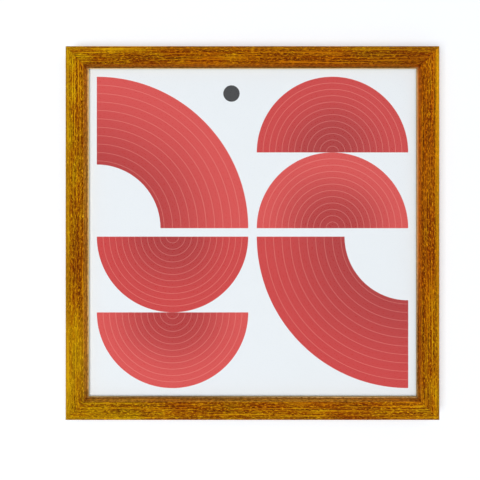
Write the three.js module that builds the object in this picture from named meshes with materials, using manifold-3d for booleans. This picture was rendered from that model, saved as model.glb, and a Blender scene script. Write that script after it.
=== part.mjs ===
import * as THREE from "three";
import { mergeGeometries, mergeVertices } from "three/addons/utils/BufferGeometryUtils.js";
import Module from "manifold-3d";

// A square picture frame for a twelve-inch record sleeve, to hang on a wall.
// Millimetres, +Z up. The front faces -Y and the wall is the plane y = 0. The origin is the top of
// the hanger's middle notch, brought back to the wall plane: the place where the wall nail holds it.

// Overall size, over the outer edges of the rails
const outerWidth = 350;
const outerHeight = 350;

// Rail moulding: width across the face, height over its back
const railWidth = 19.8;
const railDepth = 18;
const shoulderRadius = 2.6;
const faceFall = 1.8;
const slopeWidth = 1.3;
const quirkDepth = 0.6;
const beadRadius = 0.6;
const lipThickness = 2;
const coveShare = 0.36;
const glueLine = 0.1;

// Rebate that holds the layers
const rebateWidth = 4.3;
const layerClearance = 0.8;
const boardRecess = 0.3;

// Layers in the rebate, from the front
const glassThickness = 1.2;
const glassSeam = 0.4;
const sheetThickness = 0.3;
const padThickness = 3.8;
const boardThickness = 3;

// Fluted card of the filler pad
const flutePitch = 6.5;
const linerThickness = 0.35;
const webThickness = 0.55;
const fluteSteps = 6;

// V-nails in the mitres
const nailLeg = 5;
const nailSheet = 0.6;
const nailDepth = 7;
const nailSink = 0.3;
const nailHalfAngle = (35 * Math.PI) / 180;
const nailApexInset = 3.6;
const nailSpacing = 5.4;

// Turn buttons and where they sit along a side
const buttonSpread = 90;
const buttonHeadRadius = 5;
const buttonTailRadius = 3;
const buttonReach = 20;
const buttonThickness = 1.2;
const runningGap = 0.1;

// Screws of the turn buttons
const screwRadius = 1.4;
const screwLength = 9;
const screwTipLength = 2.5;
const screwHeadRadius = 3;
const screwHeadRim = 0.6;
const screwHeadHeight = 1.5;

// Toothed hanger, stamped from strip
const hangerLength = 45;
const hangerHeight = 9.5;
const hangerSheet = 0.8;
const hangerRise = 2;
const hangerFoot = 6.5;
const hangerRamp = 2;
const hangerCornerRadius = 2;
const toothPitch = 2.4;
const toothDepth = 1.5;
const notchesEachSide = 5;

// Nails of the hanger
const tackRadius = 0.75;
const tackLength = 10;
const tackTipLength = 2;
const tackHeadRadius = 1.9;
const tackHeadHeight = 0.7;

// Felt bumpers
const bumperRadius = 6;
const bumperThickness = 3.3;
const bumperChamfer = 0.6;
const bumperInset = 24;

// Shared fits and facets
const fitClearance = 0.3;
const overrun = 1;
const weldTolerance = 0.0001;
const roundSides = 16;
const curveSegments = 8;

// Sizes that follow from those above
const landWidth = railWidth - rebateWidth;
const rebateDepth = glassThickness + sheetThickness + padThickness + boardThickness + boardRecess;
const layerWidth = outerWidth - 2 * (landWidth + layerClearance);
const layerHeight = outerHeight - 2 * (landWidth + layerClearance);
const mitreBack = glueLine / Math.SQRT2;
const landMiddle = landWidth / 2;
const hangInset = landMiddle + hangerHeight / 2 - toothDepth;
const boardBack = -boardRecess;
const padBack = boardBack - boardThickness;
const sheetBack = padBack - padThickness;
const glassBack = sheetBack - sheetThickness;
const quarterTurn = Math.PI / 2;

const wasm = await Module();
wasm.setup();

// Finishes: colour, roughness and metalness
const finishes = {
  gilt: new THREE.MeshStandardMaterial({ color: 0xa06410, roughness: 0.45, metalness: 0.3 }),
  glass: new THREE.MeshStandardMaterial({
    color: 0xe8f0ee,
    roughness: 0.05,
    metalness: 0,
    transparent: true,
    opacity: 0.3,
  }),
  paper: new THREE.MeshStandardMaterial({ color: 0xe9edf2, roughness: 0.6, metalness: 0 }),
  card: new THREE.MeshStandardMaterial({ color: 0xb08a5c, roughness: 0.9, metalness: 0 }),
  hardboard: new THREE.MeshStandardMaterial({ color: 0x6d4a2c, roughness: 0.8, metalness: 0 }),
  zinc: new THREE.MeshStandardMaterial({ color: 0xb9bcbd, roughness: 0.35, metalness: 0.9 }),
  brassed: new THREE.MeshStandardMaterial({ color: 0xc09a4a, roughness: 0.35, metalness: 0.9 }),
  felt: new THREE.MeshStandardMaterial({ color: 0x3c3a38, roughness: 1, metalness: 0 }),
};

// A closed geometry as a solid for joining and cutting
function solidOf(geometry) {
  const bare = geometry.clone();
  bare.deleteAttribute("normal");
  bare.deleteAttribute("uv");
  const merged = mergeVertices(bare, weldTolerance);
  return new wasm.Manifold(
    new wasm.Mesh({
      numProp: 3,
      vertProperties: merged.attributes.position.array,
      triVerts: new Uint32Array(merged.index.array),
    }),
  );
}

// A solid as a flat-shaded geometry
function geometryOf(solid) {
  const mesh = solid.getMesh();
  const indexed = new THREE.BufferGeometry();
  indexed.setAttribute("position", new THREE.BufferAttribute(mesh.vertProperties, mesh.numProp));
  indexed.setIndex(new THREE.BufferAttribute(mesh.triVerts, 1));
  const geometry = indexed.toNonIndexed();
  geometry.computeVertexNormals();
  return geometry;
}

// A blank with each of the cutters taken out of it
function cut(blank, cutters) {
  const left = cutters.reduce((solid, cutter) => solid.subtract(solidOf(cutter)), solidOf(blank));
  return geometryOf(left);
}

// An outline drawn in x and z, made into a plate whose back lies at the given y
function plate(outline, thickness, back) {
  const geometry = new THREE.ExtrudeGeometry(outline, {
    depth: thickness,
    bevelEnabled: false,
    curveSegments,
  });
  geometry.rotateX(quarterTurn);
  geometry.translate(0, back, 0);
  return geometry;
}

// A profile of radius and y, turned about the y axis
function turned(points) {
  return new THREE.LatheGeometry(
    points.map(([radius, y]) => new THREE.Vector2(radius, y)),
    roundSides,
  );
}

// A blind hole along y, open at the back of a rail, with room round what goes in
function pocket(radius, depth, x, z) {
  const length = depth + fitClearance + overrun;
  const hole = new THREE.CylinderGeometry(
    radius + fitClearance,
    radius + fitClearance,
    length,
    roundSides,
  );
  hole.translate(x, overrun - length / 2, z);
  return hole;
}

// The moulding's section: x runs in from the outer edge, y runs up from the back
function railSection() {
  const shoulderFoot = railDepth - shoulderRadius;
  const faceEnd = railWidth - 2 * beadRadius - slopeWidth;
  const faceEndHeight = railDepth - faceFall;
  const slopeTop = faceEndHeight - quirkDepth;
  const slopeEnd = railWidth - 2 * beadRadius;
  const lipTop = rebateDepth + lipThickness;
  const section = new THREE.Shape();
  section.moveTo(0, 0);
  section.lineTo(0, shoulderFoot);
  section.absarc(shoulderRadius, shoulderFoot, shoulderRadius, Math.PI, quarterTurn, true);
  section.quadraticCurveTo((shoulderRadius + faceEnd) / 2, railDepth, faceEnd, faceEndHeight);
  section.lineTo(faceEnd, slopeTop);
  section.quadraticCurveTo(
    THREE.MathUtils.lerp(faceEnd, slopeEnd, coveShare),
    THREE.MathUtils.lerp(lipTop, slopeTop, coveShare),
    slopeEnd,
    lipTop,
  );
  section.absarc(slopeEnd + beadRadius, lipTop, beadRadius, Math.PI, 0, true);
  section.lineTo(railWidth, rebateDepth);
  section.lineTo(landWidth, rebateDepth);
  section.lineTo(landWidth, 0);
  section.closePath();
  return section;
}

// A rail with its outer edge along x and its back at y = 0, its ends mitred
function railBlank(length) {
  const blank = new THREE.ExtrudeGeometry(railSection(), {
    depth: 1,
    bevelEnabled: false,
    curveSegments,
  });
  const place = blank.attributes.position;
  for (let i = 0; i < place.count; i++) {
    const across = place.getX(i);
    const end = place.getZ(i) > 0 ? 1 : -1;
    const along = end * (length / 2 - across - mitreBack);
    place.setXYZ(i, along, -place.getY(i), across);
  }
  return blank;
}

// The V of a corner nail, in x and z from the outer corner, grown all round by a clearance.
// It is drawn along the mitre and across it, then turned by half a right angle.
function vOutline(apexInset, grow) {
  const leg = nailLeg + grow + grow / Math.tan(nailHalfAngle);
  const sheet = nailSheet + 2 * grow;
  const apex = apexInset * Math.SQRT2 - grow / Math.sin(nailHalfAngle);
  const cos = Math.cos(nailHalfAngle);
  const sin = Math.sin(nailHalfAngle);
  const points = [
    [apex, 0],
    [apex + leg * cos, -leg * sin],
    [apex + leg * cos + sheet * sin, -leg * sin + sheet * cos],
    [apex + sheet / sin, 0],
    [apex + leg * cos + sheet * sin, leg * sin - sheet * cos],
    [apex + leg * cos, leg * sin],
  ];
  const turnedPoints = points.map(
    ([s, t]) => new THREE.Vector2((s - t) / Math.SQRT2, (s + t) / Math.SQRT2),
  );
  return new THREE.Shape(turnedPoints);
}

// The two V-nails of a corner and how far in their points lie
const cornerNails = [
  { name: "outer", apexInset: nailApexInset },
  { name: "inner", apexInset: nailApexInset + nailSpacing },
];

// Slots for the V-nails at both ends of a rail
function vSlots(length) {
  return cornerNails.flatMap(({ apexInset }) => {
    const depth = nailSink + nailDepth + fitClearance + overrun;
    const first = plate(vOutline(apexInset, fitClearance), depth, overrun);
    const second = first.clone().rotateY(-quarterTurn);
    return [first.translate(-length / 2, 0, 0), second.translate(length / 2, 0, 0)];
  });
}

function vNail(apexInset) {
  return plate(vOutline(apexInset, 0), nailDepth, -nailSink);
}

// A rail with its slots and its screw holes, and its nail holes where the hanger goes
function rail(length, holdsHanger) {
  const screwHoles = [-1, 1].map((end) =>
    pocket(screwRadius, screwLength, end * buttonSpread, landMiddle),
  );
  const tackHoles = holdsHanger
    ? [-1, 1].map((end) => pocket(tackRadius, tackLength, end * tackPlace, landMiddle))
    : [];
  return cut(railBlank(length), [...vSlots(length), ...screwHoles, ...tackHoles]);
}

// A rectangle about the middle of the frame
function layerOutline(width, height) {
  return new THREE.Shape([
    new THREE.Vector2(-width / 2, -height / 2),
    new THREE.Vector2(width / 2, -height / 2),
    new THREE.Vector2(width / 2, height / 2),
    new THREE.Vector2(-width / 2, height / 2),
  ]);
}

// The pane, its sharp edges seamed off
function glassPane() {
  const pane = new THREE.ExtrudeGeometry(
    layerOutline(layerWidth - 2 * glassSeam, layerHeight - 2 * glassSeam),
    {
      depth: glassThickness - 2 * glassSeam,
      bevelThickness: glassSeam,
      bevelSize: glassSeam,
      bevelSegments: 1,
    },
  );
  pane.rotateX(quarterTurn);
  pane.translate(0, glassBack - glassSeam, 0);
  return pane;
}

function printedSheet() {
  return plate(layerOutline(layerWidth, layerHeight), sheetThickness, sheetBack);
}

function backingBoard() {
  return plate(layerOutline(layerWidth, layerHeight), boardThickness, boardBack);
}

// One hollow of the fluted card, upright: it lies between a liner and one wave of the web
function fluteHollow(middle, upward) {
  const swing = padThickness / 2 - linerThickness;
  const reach = Math.acos(webThickness / 2 / swing - 1);
  const length = layerHeight + 2 * overrun;
  const wave = [];
  for (let i = 0; i <= fluteSteps; i++) {
    const angle = reach * ((2 * i) / fluteSteps - 1);
    const x = middle + (flutePitch * angle) / (2 * Math.PI);
    wave.push(new THREE.Vector2(x, upward * (swing * Math.cos(angle) - webThickness / 2)));
  }
  const hollow = new THREE.ExtrudeGeometry(new THREE.Shape(wave), {
    depth: length,
    bevelEnabled: false,
  });
  return hollow.translate(0, 0, -length / 2);
}

// The filler pad: two liners on a waved web, its flutes upright
function fillerPad() {
  const hollows = [];
  const count = 2 * (Math.floor(layerWidth / flutePitch) - 1);
  for (let i = 0; i < count; i++) {
    const middle = ((i - (count - 1) / 2) * flutePitch) / 2;
    hollows.push(fluteHollow(middle, i % 2 ? -1 : 1));
  }
  const block = new THREE.BoxGeometry(layerWidth, padThickness, layerHeight);
  const pad = cut(block, [mergeGeometries(hollows)]);
  return pad.translate(0, padBack - padThickness / 2, 0);
}

// A turn button pointing in, its hole at the origin: two rounds joined by their tangents
function turnButton() {
  const tailCentre = buttonReach - buttonTailRadius;
  const lean = Math.asin((buttonHeadRadius - buttonTailRadius) / tailCentre);
  const outline = new THREE.Shape();
  outline.absarc(0, 0, buttonHeadRadius, Math.PI - lean, lean, false);
  outline.absarc(0, tailCentre, buttonTailRadius, lean, Math.PI - lean, false);
  outline.closePath();
  const hole = new THREE.Path();
  hole.absarc(0, 0, screwRadius + runningGap, 0, 2 * Math.PI, true);
  outline.holes.push(hole);
  return plate(outline, buttonThickness, runningGap + buttonThickness);
}

// A pan-head screw on the y axis, y = 0 at the back of the rail
function buttonScrew() {
  const seat = 2 * runningGap + buttonThickness;
  const rim = seat + screwHeadRim;
  const dome = [];
  for (let i = 0; i <= curveSegments; i++) {
    const angle = (quarterTurn * i) / curveSegments;
    const rise = (screwHeadHeight - screwHeadRim) * Math.sin(angle);
    dome.push([screwHeadRadius * Math.cos(angle), rim + rise]);
  }
  dome[curveSegments][0] = 0;
  return turned([
    [0, -screwLength],
    [screwRadius, screwTipLength - screwLength],
    [screwRadius, seat],
    [screwHeadRadius, seat],
    ...dome,
  ]);
}

// Hanger lengths along the strip, from its middle
const tackPlace = hangerLength / 2 - hangerFoot / 2;
const rampOuter = hangerLength / 2 - hangerFoot;
const rampInner = rampOuter - hangerRamp;

// The hanger's outline in x and z: the toothed edge looks in, towards the middle of the frame
function hangerOutline() {
  const half = hangerLength / 2;
  const low = landMiddle - hangerHeight / 2;
  const high = landMiddle + hangerHeight / 2;
  const r = hangerCornerRadius;
  const outline = new THREE.Shape();
  outline.absarc(-half + r, low + r, r, Math.PI, 3 * quarterTurn, false);
  outline.absarc(half - r, low + r, r, -quarterTurn, 0, false);
  outline.absarc(half - r, high - r, r, 0, quarterTurn, false);
  for (let i = notchesEachSide; i >= -notchesEachSide; i--) {
    outline.lineTo((i + 0.5) * toothPitch, high);
    outline.lineTo(i * toothPitch, high - toothDepth);
  }
  outline.lineTo(-(notchesEachSide + 0.5) * toothPitch, high);
  outline.absarc(-half + r, high - r, r, quarterTurn, Math.PI, false);
  outline.closePath();
  for (const end of [-1, 1]) {
    const hole = new THREE.Path();
    hole.absarc(end * tackPlace, landMiddle, tackRadius + fitClearance, 0, 2 * Math.PI, true);
    outline.holes.push(hole);
  }
  return outline;
}

// The hanger's side view in x and y: flat feet, ramps, and the middle standing off the rail
function hangerBend() {
  const half = hangerLength / 2 + overrun;
  const shift = hangerSheet * Math.tan(Math.atan2(hangerRise, hangerRamp) / 2);
  const under = [
    [half, 0],
    [rampOuter, 0],
    [rampInner, hangerRise],
  ];
  const over = [
    [rampInner + shift, hangerRise + hangerSheet],
    [rampOuter + shift, hangerSheet],
    [half, hangerSheet],
  ];
  const mirrored = (points) => points.map(([x, y]) => [-x, y]).reverse();
  const around = [...under, ...mirrored(under), ...mirrored(over), ...over];
  return new THREE.Shape(around.map(([x, y]) => new THREE.Vector2(x, y)));
}

// The stamped strip: its outline cut through the bent sheet
function toothedHanger() {
  const stamp = plate(
    hangerOutline(),
    hangerRise + hangerSheet + 2 * overrun,
    hangerRise + hangerSheet + overrun,
  );
  const sheet = new THREE.ExtrudeGeometry(hangerBend(), { depth: landWidth, bevelEnabled: false });
  return geometryOf(solidOf(stamp).intersect(solidOf(sheet)));
}

// A flat-headed nail on the y axis, its head on the hanger's foot
function hangerNail() {
  return turned([
    [0, -tackLength],
    [tackRadius, tackTipLength - tackLength],
    [tackRadius, hangerSheet],
    [tackHeadRadius, hangerSheet],
    [tackHeadRadius, hangerSheet + tackHeadHeight],
    [0, hangerSheet + tackHeadHeight],
  ]);
}

function wallBumper() {
  return turned([
    [0, 0],
    [bumperRadius, 0],
    [bumperRadius, bumperThickness - bumperChamfer],
    [bumperRadius - bumperChamfer, bumperThickness],
    [0, bumperThickness],
  ]);
}

// A named piece in a group, at x and z on the back plane
function addPiece(group, name, geometry, finish, x = 0, z = 0) {
  const piece = new THREE.Mesh(geometry, finish);
  piece.name = name;
  piece.position.set(x, 0, z);
  group.add(piece);
}

// The frame's middle on the back plane of its rails
const recordFrame = new THREE.Group();
const frame = new THREE.Group();
frame.position.set(0, -bumperThickness, hangInset - outerHeight / 2);
recordFrame.add(frame);

// The four sides in quarter turns from the bottom, with what each end is called. In a side's own
// group x runs along its outer edge and z runs in towards the middle.
const sides = [
  { name: "bottom", length: outerWidth, reach: outerHeight / 2, ends: ["left", "right"] },
  { name: "left", length: outerHeight, reach: outerWidth / 2, ends: ["upper", "lower"] },
  { name: "top", length: outerWidth, reach: outerHeight / 2, ends: ["right", "left"] },
  { name: "right", length: outerHeight, reach: outerWidth / 2, ends: ["lower", "upper"] },
];

const sideGroups = sides.map(({ name, length, reach, ends }, turns) => {
  const side = new THREE.Group();
  side.rotation.y = turns * quarterTurn;
  side.position.set(0, 0, -reach).applyAxisAngle(new THREE.Vector3(0, 1, 0), side.rotation.y);
  frame.add(side);
  addPiece(side, `${name}_rail`, rail(length, name === "top"), finishes.gilt);
  ends.forEach((end, i) => {
    const x = (2 * i - 1) * buttonSpread;
    addPiece(side, `turn_button_${name}_${end}`, turnButton(), finishes.brassed, x, landMiddle);
    addPiece(side, `button_screw_${name}_${end}`, buttonScrew(), finishes.zinc, x, landMiddle);
  });
  return side;
});

// The corners in quarter turns from the bottom left, each with its two V-nails
const corners = [
  { name: "bottom_left", x: -1, z: -1 },
  { name: "top_left", x: -1, z: 1 },
  { name: "top_right", x: 1, z: 1 },
  { name: "bottom_right", x: 1, z: -1 },
];

corners.forEach(({ name, x, z }, turns) => {
  const corner = new THREE.Group();
  corner.rotation.y = turns * quarterTurn;
  corner.position.set((x * outerWidth) / 2, 0, (z * outerHeight) / 2);
  frame.add(corner);
  for (const nail of cornerNails) {
    addPiece(corner, `v_nail_${name}_${nail.name}`, vNail(nail.apexInset), finishes.zinc);
  }
});

// The layers between the rebate's seat and the turn buttons
addPiece(frame, "glass_pane", glassPane(), finishes.glass);
addPiece(frame, "printed_sheet", printedSheet(), finishes.paper);
addPiece(frame, "filler_pad", fillerPad(), finishes.card);
addPiece(frame, "backing_board", backingBoard(), finishes.hardboard);

// The hanger on the top rail and the bumpers on the bottom one
const [bottomSide, , topSide] = sideGroups;
addPiece(topSide, "toothed_hanger", toothedHanger(), finishes.brassed);
addPiece(topSide, "hanger_nail_right", hangerNail(), finishes.zinc, -tackPlace, landMiddle);
addPiece(topSide, "hanger_nail_left", hangerNail(), finishes.zinc, tackPlace, landMiddle);
const bumperPlace = outerWidth / 2 - bumperInset;
addPiece(bottomSide, "wall_bumper_left", wallBumper(), finishes.felt, -bumperPlace, landMiddle);
addPiece(bottomSide, "wall_bumper_right", wallBumper(), finishes.felt, bumperPlace, landMiddle);

export default recordFrame;
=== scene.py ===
import math

import bmesh
import bpy
from mathutils import Matrix, Vector, noise


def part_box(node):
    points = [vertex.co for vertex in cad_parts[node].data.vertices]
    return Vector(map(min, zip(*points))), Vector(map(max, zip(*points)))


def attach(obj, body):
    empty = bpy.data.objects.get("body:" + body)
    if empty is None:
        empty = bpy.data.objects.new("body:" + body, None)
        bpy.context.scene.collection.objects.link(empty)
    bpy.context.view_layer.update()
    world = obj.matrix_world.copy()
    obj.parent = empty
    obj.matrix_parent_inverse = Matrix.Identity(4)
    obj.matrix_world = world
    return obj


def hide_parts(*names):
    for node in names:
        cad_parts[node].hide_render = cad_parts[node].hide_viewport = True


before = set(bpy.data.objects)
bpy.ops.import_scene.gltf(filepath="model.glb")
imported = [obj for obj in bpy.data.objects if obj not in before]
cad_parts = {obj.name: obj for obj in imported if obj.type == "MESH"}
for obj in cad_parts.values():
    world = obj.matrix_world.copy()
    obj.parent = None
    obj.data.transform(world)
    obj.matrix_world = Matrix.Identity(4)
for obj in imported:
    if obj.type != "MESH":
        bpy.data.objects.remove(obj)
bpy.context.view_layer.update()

# The looks of a square gilt frame for a record sleeve. Metres, +Z up, the front faces -Y.
MM = 0.001
DECIMETRE = 0.1
FRAME_BODY = "frame"
SIDES = ("bottom", "left", "top", "right")
CORNERS = ((-1, -1), (-1, 1), (1, 1), (1, -1))
BUTTONS = (
    ("bottom", "left"), ("bottom", "right"), ("left", "upper"), ("left", "lower"),
    ("top", "right"), ("top", "left"), ("right", "lower"), ("right", "upper"),
)

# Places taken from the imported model
RAIL_BOXES = {side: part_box(f"{side}_rail") for side in SIDES}
HALF = (RAIL_BOXES["right"][1].x - RAIL_BOXES["left"][0].x) / 2
MIDDLE = Vector((0, 0, (RAIL_BOXES["top"][1].z + RAIL_BOXES["bottom"][0].z) / 2))
FRONT_Y = RAIL_BOXES["top"][0].y
BACK_Y = RAIL_BOXES["top"][1].y
GLASS_FRONT_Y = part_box("glass_pane")[0].y

# The moulding's section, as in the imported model, with its arrises eased
RAIL_WIDTH = RAIL_BOXES["top"][1].z - RAIL_BOXES["top"][0].z
RAIL_DEPTH = BACK_Y - FRONT_Y
SHOULDER_RADIUS = 2.6 * MM
FACE_FALL = 1.8 * MM
QUIRK_DEPTH = 0.6 * MM
SLOPE_WIDTH = 1.3 * MM
COVE_SHARE = 0.36
BEAD_RADIUS = 0.6 * MM
LIP_THICKNESS = 2 * MM
REBATE_WIDTH = 4.3 * MM
REBATE_DEPTH = BACK_Y - GLASS_FRONT_Y
LAND_WIDTH = RAIL_WIDTH - REBATE_WIDTH
EASE = 0.25 * MM
ARRIS_STEPS = 2
ROUND_STEPS = 10
FACE_STEPS = 12
QUIRK_STEPS = 3
SLOPE_STEPS = 8

# A rail's length: its mitres, its rounded outer corners, the waves of its coating, and its rings
MITRE_GAP = 0.03 * MM
MITRE_EASE = 0.09 * MM
CORNER_RADIUS = 1.1 * MM
WAVE_DEPTH = 0.07 * MM
WAVE_LENGTH = 24 * MM
WAVE_SHIFT = 40 * MM
RING_STEP = 3.2 * MM
END_RINGS = (0, 0.12 * MM, 0.3 * MM, 0.6 * MM, 1 * MM, 1.6 * MM)

# Decimetres between the middles of two rails on the map
MAP_SHIFT = 11

# Slots for the V-nails, and the holes for screws and nails
NAIL_LEG = 5 * MM
NAIL_SHEET = 0.6 * MM
NAIL_SLOT_DEPTH = 7.6 * MM
NAIL_HALF_ANGLE = math.radians(35)
NAIL_APEX_INSETS = (3.6 * MM, 9 * MM)
TACK_RADIUS = 0.75 * MM
SLOT_CLEARANCE = 0.3 * MM
HOLE_STEPS = 24
OVERRUN = 1 * MM

# Turn buttons
BUTTON_HEAD_RADIUS = 5 * MM
BUTTON_TAIL_RADIUS = 3 * MM
BUTTON_REACH = 20 * MM
BUTTON_EDGE = 0.28 * MM
RUNNING_GAP = 0.1 * MM
BUTTON_HEAD_STEPS = 36
BUTTON_TAIL_STEPS = 18
BUTTON_HOLE_STEPS = 32

# Screws, each a set turn past the one before it, in radians
SCREW_RADIUS = 1.4 * MM
SCREW_CORE_RADIUS = 1.02 * MM
SCREW_PITCH = 1.15 * MM
SCREW_TIP = 2.5 * MM
SCREW_NECK = 0.8 * MM
SCREW_NECK_TOP = 0.3 * MM
SCREW_HEAD_RADIUS = 3 * MM
SCREW_HEAD_RIM = 0.6 * MM
SCREW_SIDES = 20
RINGS_A_PITCH = 8
DOME_STEPS = 7
FIRST_SCREW_TURN = 0.4354
SCREW_TURN_STEP = 3.4

# The screws' cross recess, with the shares of its length and width at its floor and at the cutter's top
RECESS_WIDTH = 0.75 * MM
RECESS_LENGTH = 3.2 * MM
RECESS_DEPTH = 1.25 * MM
RECESS_FLOOR_SHARES = (0.4, 0.6)
RECESS_TOP_SHARES = (1.5, 1.2)

# Felt bumpers. The rings across the face are shares of the radius.
FELT_EDGE = 0.9 * MM
FELT_EDGE_STEPS = 5
FELT_ROUGH = 0.09 * MM
FELT_FACE_ROUGH_SHARE = 0.8
FELT_LUMP = 0.9 * MM
FELT_LUMP_SHIFTS = {"left": 7, "right": 0}
FELT_UNDERCUT = 0.15 * MM
FELT_SIDES = 56
FELT_FACE_RINGS = (0.2, 0.4, 0.6, 0.75)
FELT_WAIST_SHARE = 0.4

# The pane, its edges seamed off, its back just clear of the sheet
PANE_SEAM = 0.4 * MM
PANE_CLEARANCE = 0.08 * MM

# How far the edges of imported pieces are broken, and what is joined or made flat before that
NAIL_EDGE = 0.08 * MM
TACK_EDGE = 0.12 * MM
HANGER_EDGE = 0.14 * MM
WELD_GAP = 0.001 * MM
FLAT_DEGREES = 0.5


# Building blocks
def linked(name, data):
    """A new object in the scene."""
    made = bpy.data.objects.new(name, data)
    bpy.context.scene.collection.objects.link(made)
    return made


def fill_mesh(mesh, work):
    """Puts what was built into the mesh, with its normals facing out."""
    bmesh.ops.recalc_face_normals(work, faces=work.faces)
    work.to_mesh(mesh)
    work.free()


def mesh_object(name, vertices, faces):
    """A new object from lists of vertices and faces."""
    mesh = bpy.data.meshes.new(name)
    mesh.from_pydata(vertices, [], faces)
    work = bmesh.new()
    work.from_mesh(mesh)
    fill_mesh(mesh, work)
    return linked(name, mesh)


def loft(rings, tips=()):
    """Vertices and faces of a solid through closed rings, its ends flat or drawn to two tips."""
    count = len(rings[0])
    last = (len(rings) - 1) * count
    vertices = [*(point for ring in rings for point in ring), *tips]
    ends = (range(count), range(last, last + count))
    faces = [] if tips else [tuple(end) for end in ends]
    for tip in range(len(tips)):
        faces += [(ends[tip][i - 1], ends[tip][i], last + count + tip) for i in range(count)]
    for start in range(0, last, count):
        for i in range(count):
            j = (i + 1) % count
            faces.append((start + i, start + count + i, start + count + j, start + j))
    return vertices, faces


def rectangle(left, bottom, right, top):
    """The four corners of a rectangle, going round."""
    return ((left, bottom), (right, bottom), (right, top), (left, top))


def arc(centre, radius, start, end, steps):
    """Points on an arc between two angles in degrees, both ends included."""
    angles = [math.radians(start + (end - start) * i / steps) for i in range(steps + 1)]
    return [(centre[0] + radius * math.cos(a), centre[1] + radius * math.sin(a)) for a in angles]


def bow(start, control, end, steps):
    """Points on a quadratic curve, both ends included."""
    points = []
    for i in range(steps + 1):
        t = i / steps
        weights = ((1 - t) ** 2, 2 * t * (1 - t), t * t)
        points.append(
            tuple(sum(w * p for w, p in zip(weights, places)) for places in zip(start, control, end))
        )
    return points


def smooth_below(mesh, angle=35):
    """Smooth shading, with the edges past an angle in degrees kept sharp."""
    for face in mesh.polygons:
        face.use_smooth = True
    mesh.set_sharp_from_angle(angle=math.radians(angle))


def bevel(piece, width, segments, angle):
    """Breaks the edges past an angle in degrees."""
    edge = piece.modifiers.new("edge", "BEVEL")
    edge.width = width
    edge.segments = segments
    edge.limit_method = "ANGLE"
    edge.angle_limit = math.radians(angle)


def applied(piece):
    """The piece with its modifiers turned into plain mesh."""
    graph = bpy.context.evaluated_depsgraph_get()
    mesh = bpy.data.meshes.new_from_object(piece.evaluated_get(graph))
    piece.modifiers.clear()
    old = piece.data
    piece.data = mesh
    mesh.name = piece.name
    bpy.data.meshes.remove(old)
    return piece


def carve(piece, cutter):
    """The piece with the cutter taken out of it."""
    cut = piece.modifiers.new("cut", "BOOLEAN")
    cut.operation = "DIFFERENCE"
    cut.solver = "EXACT"
    cut.object = cutter
    return applied(piece)


def coat(piece, material):
    """Gives a piece one material."""
    piece.data.materials.clear()
    piece.data.materials.append(material)


def dress(piece, material, body=FRAME_BODY, nodes=()):
    """Gives a piece its finish, its body and the nodes that it stands for."""
    coat(piece, material)
    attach(piece, body)
    if nodes:
        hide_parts(*nodes)


# Rails
def rail_section():
    """The section's points and their distances round it, where each part ends, and the whole way round.

    It starts at the back outer corner and goes over the face. A point is in from the rail's outer edge
    and up from its back.
    """
    slope_end = RAIL_WIDTH - 2 * BEAD_RADIUS
    face_end = slope_end - SLOPE_WIDTH
    face_height = RAIL_DEPTH - FACE_FALL
    slope_top = face_height - QUIRK_DEPTH
    lip_top = REBATE_DEPTH + LIP_THICKNESS
    cove = (
        face_end + (slope_end - face_end) * COVE_SHARE,
        lip_top + (slope_top - lip_top) * COVE_SHARE,
    )
    shoulder = (SHOULDER_RADIUS, RAIL_DEPTH - SHOULDER_RADIUS)
    face_start = (SHOULDER_RADIUS, RAIL_DEPTH)
    face_crown = ((SHOULDER_RADIUS + face_end) / 2, RAIL_DEPTH)
    face_stop = (face_end - EASE, face_height + EASE * 2 * FACE_FALL / face_end)
    parts = {
        "wall": [*arc((EASE, EASE), EASE, 270, 180, ARRIS_STEPS), (0, RAIL_DEPTH / 2)],
        "shoulder": arc(shoulder, SHOULDER_RADIUS, 180, 90, ROUND_STEPS),
        "face": bow(face_start, face_crown, face_stop, FACE_STEPS)[1:],
        "quirk": arc((face_end - EASE, face_height - EASE), EASE, 70, 0, QUIRK_STEPS),
        "slope": bow((face_end, slope_top), cove, (slope_end, lip_top), SLOPE_STEPS),
        "bead": arc((slope_end + BEAD_RADIUS, lip_top), BEAD_RADIUS, 180, 0, ROUND_STEPS)[1:],
        "lip": [(RAIL_WIDTH, lip_top - LIP_THICKNESS / 2), (RAIL_WIDTH, REBATE_DEPTH)],
        "rebate": [(LAND_WIDTH, REBATE_DEPTH)],
        "inside": [(LAND_WIDTH, REBATE_DEPTH / 2), (LAND_WIDTH, EASE)],
        "back": [(LAND_WIDTH - EASE, 0), (LAND_WIDTH / 2, 0)],
    }
    points, girths, ends = [], [], {}
    for part, run in parts.items():
        for point in run:
            girths.append(girths[-1] + math.dist(points[-1], point) if points else 0)
            points.append(point)
        ends[part] = girths[-1]
    return points, girths, ends, girths[-1] + math.dist(points[-1], points[0])


SECTION, GIRTHS, PART_ENDS, GIRTH_TOTAL = rail_section()


def section_normals():
    """The outward direction at each point of the section."""
    normals = []
    for i in range(len(SECTION)):
        before, after = SECTION[i - 1], SECTION[(i + 1) % len(SECTION)]
        along = Vector((after[0] - before[0], after[1] - before[1])).normalized()
        normals.append(Vector((-along.y, along.x)))
    return normals


def side_place(side):
    """The directions of a side's length and of its way in, and the middle of its outer edge."""
    turn = Matrix.Rotation(SIDES.index(side) * math.pi / 2, 3, "Y")
    inward = turn @ Vector((0, 0, 1))
    return turn @ Vector((1, 0, 0)), inward, MIDDLE - inward * HALF


def on_side(side, along, across, height):
    """A point given along a side, in from its outer edge and up from its back."""
    length_way, inward, edge = side_place(side)
    place = edge + length_way * along + inward * across
    return Vector((place.x, BACK_Y - height, place.z))


def ring_places():
    """Distances of the rings from one end of a rail, before the mitre is cut."""
    plain = 2 * HALF - 2 * END_RINGS[-1]
    count = round(plain / RING_STEP)
    middle = [END_RINGS[-1] + i * plain / count for i in range(1, count)]
    return [*END_RINGS, *middle, *[2 * HALF - place for place in reversed(END_RINGS)]]


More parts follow.
